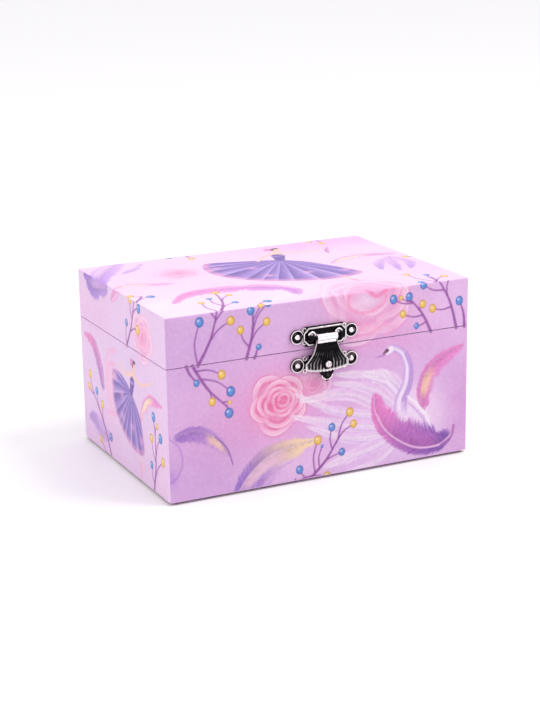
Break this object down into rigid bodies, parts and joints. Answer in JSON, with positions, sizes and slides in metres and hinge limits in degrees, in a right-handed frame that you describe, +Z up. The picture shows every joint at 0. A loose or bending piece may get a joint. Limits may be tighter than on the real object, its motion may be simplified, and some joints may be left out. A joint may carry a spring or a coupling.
{
  "type": "ballerina jewellery box",
  "caption": "Paper-covered musical jewellery box with a hinged mirror lid, front clasp, velvet ring tray, wind-up movement and a dancer that folds down under the closed lid.",
  "frame": {"origin": "centre of the box's underside, where it stands on a table", "axes": "+X to the right seen from the front, -Y is the front with the clasp, +Y the hinged back with the key, +Z up"},
  "size_m": [0.15, 0.1309, 0.084],
  "materials": {
    "printed_paper": "satin",
    "wood_board": "raw",
    "base_felt": "felt",
    "velvet": "velvet",
    "mirror": "polished",
    "antique_silver": "antiqued",
    "bright_nail": "polished",
    "brass": "satin",
    "steel": "satin",
    "bedplate_metal": "gilt",
    "fan_metal": "satin",
    "turntable_plastic": "gloss",
    "dancer_plastic": "satin",
    "tulle": "sheer",
    "satin_ribbon": "satin"
  },
  "bodies": {
    "box": {"body_paper_wrap": "printed_paper", "front_board": "wood_board", "back_board": "wood_board", "left_board": "wood_board", "right_board": "wood_board", "bottom_board": "wood_board", "base_felt": "base_felt", "wall_lining": "velvet", "floor_lining": "velvet", "stage_board": "velvet", "stage_front_board": "velvet", "tray_divider": "velvet", "ring_cushion": "velvet", "hinge_left_body_leaf": "brass", "hinge_right_body_leaf": "brass", "hinge_left_pin": "steel", "hinge_right_pin": "steel", "hinge_left_body_nail_1": "brass", "hinge_left_body_nail_2": "brass", "hinge_right_body_nail_1": "brass", "hinge_right_body_nail_2": "brass", "catch_plate": "antique_silver", "catch_nail_left": "bright_nail", "catch_nail_right": "bright_nail", "bedplate": "bedplate_metal", "comb": "steel", "comb_screw_left": "steel", "comb_screw_right": "steel", "governor_bracket": "brass", "movement_screw_1": "steel", "movement_screw_2": "steel", "movement_screw_3": "steel", "lid_stay_ribbon": "satin_ribbon"},
    "lid": {"lid_paper_wrap": "printed_paper", "lid_top_board": "wood_board", "lid_rim_frame": "wood_board", "lid_lining": "velvet", "lid_mirror": "mirror", "hinge_left_lid_leaf": "brass", "hinge_right_lid_leaf": "brass", "hinge_left_lid_nail_1": "brass", "hinge_left_lid_nail_2": "brass", "hinge_right_lid_nail_1": "brass", "hinge_right_lid_nail_2": "brass", "clasp_plate": "antique_silver", "clasp_nail_left": "bright_nail", "clasp_nail_right": "bright_nail"},
    "clasp_flap": {"clasp_flap": "antique_silver"},
    "winding_key": {"winding_key": "steel", "winding_arbor": "steel"},
    "barrel": {"barrel": "brass"},
    "cylinder": {"cylinder": "brass"},
    "governor_wheel": {"governor_wheel": "brass"},
    "governor_fan": {"governor_fan": "fan_metal"},
    "spindle": {"spindle": "turntable_plastic"},
    "dancer_spring": {"ballerina_spring": "steel"},
    "ballerina": {"ballerina_figure": "dancer_plastic", "ballerina_tutu": "tulle"},
    "stop_wire": {"stop_wire": "steel"}
  },
  "joints": [
    {"name": "lid_hinge", "type": "hinge", "parent": "box", "child": "lid", "pos_m": [0, 0.0545, 0.0613], "axis": [-1, 0, 0], "range_deg": [0, 100], "deforming": ["lid_stay_ribbon"]},
    {"name": "clasp_hinge", "type": "hinge", "parent": "lid", "child": "clasp_flap", "pos_m": [0, -0.056, 0.0668], "axis": [-1, 0, 0], "range_deg": [0, 110]},
    {"name": "key_turn", "type": "hinge", "parent": "box", "child": "winding_key", "pos_m": [0, 0.06, 0.022], "axis": [0, 1, 0], "continuous": true},
    {"name": "barrel_turn", "type": "hinge", "parent": "box", "child": "barrel", "pos_m": [0, 0.04, 0.022], "axis": [0, 1, 0], "continuous": true},
    {"name": "cylinder_turn", "type": "hinge", "parent": "box", "child": "cylinder", "pos_m": [0.022, 0.03247, 0.022], "axis": [1, 0, 0], "continuous": true},
    {"name": "governor_turn", "type": "hinge", "parent": "box", "child": "governor_wheel", "pos_m": [0.0336, 0.03647, 0.02893], "axis": [1, 0, 0], "continuous": true},
    {"name": "fan_turn", "type": "hinge", "parent": "box", "child": "governor_fan", "pos_m": [0.0368, 0.04201, 0.03213], "axis": [1, 0, 0], "continuous": true},
    {"name": "spindle_turn", "type": "hinge", "parent": "box", "child": "spindle", "pos_m": [0, 0.03247, 0.045], "axis": [0, 0, 1], "continuous": true},
    {"name": "dancer_fold", "type": "hinge", "parent": "box", "child": "dancer_spring", "pos_m": [0, 0.03247, 0.052], "axis": [-1, 0, 0], "range_deg": [0, 62.01], "deforming": ["ballerina_spring"]},
    {"name": "dancer_spin", "type": "hinge", "parent": "dancer_spring", "child": "ballerina", "pos_m": [0, 0.03247, 0.052], "axis": [0, -0.8829, 0.4695], "continuous": true},
    {"name": "stop_wire_slide", "type": "slide", "parent": "box", "child": "stop_wire", "axis": [0, 0, 1], "range_m": [0, 0.0041]}
  ],
  "couplings": [
    {"joint": "cylinder_turn", "follows": "barrel_turn", "ratio": -3},
    {"joint": "spindle_turn", "follows": "barrel_turn", "ratio": -3},
    {"joint": "dancer_spin", "follows": "barrel_turn", "ratio": -3},
    {"joint": "governor_turn", "follows": "barrel_turn", "ratio": 9},
    {"joint": "fan_turn", "follows": "barrel_turn", "ratio": -27},
    {"joint": "dancer_fold", "follows": "lid_hinge", "ratio": 0.62},
    {"joint": "stop_wire_slide", "follows": "lid_hinge", "m_per_rad": 0.0022918}
  ]
}
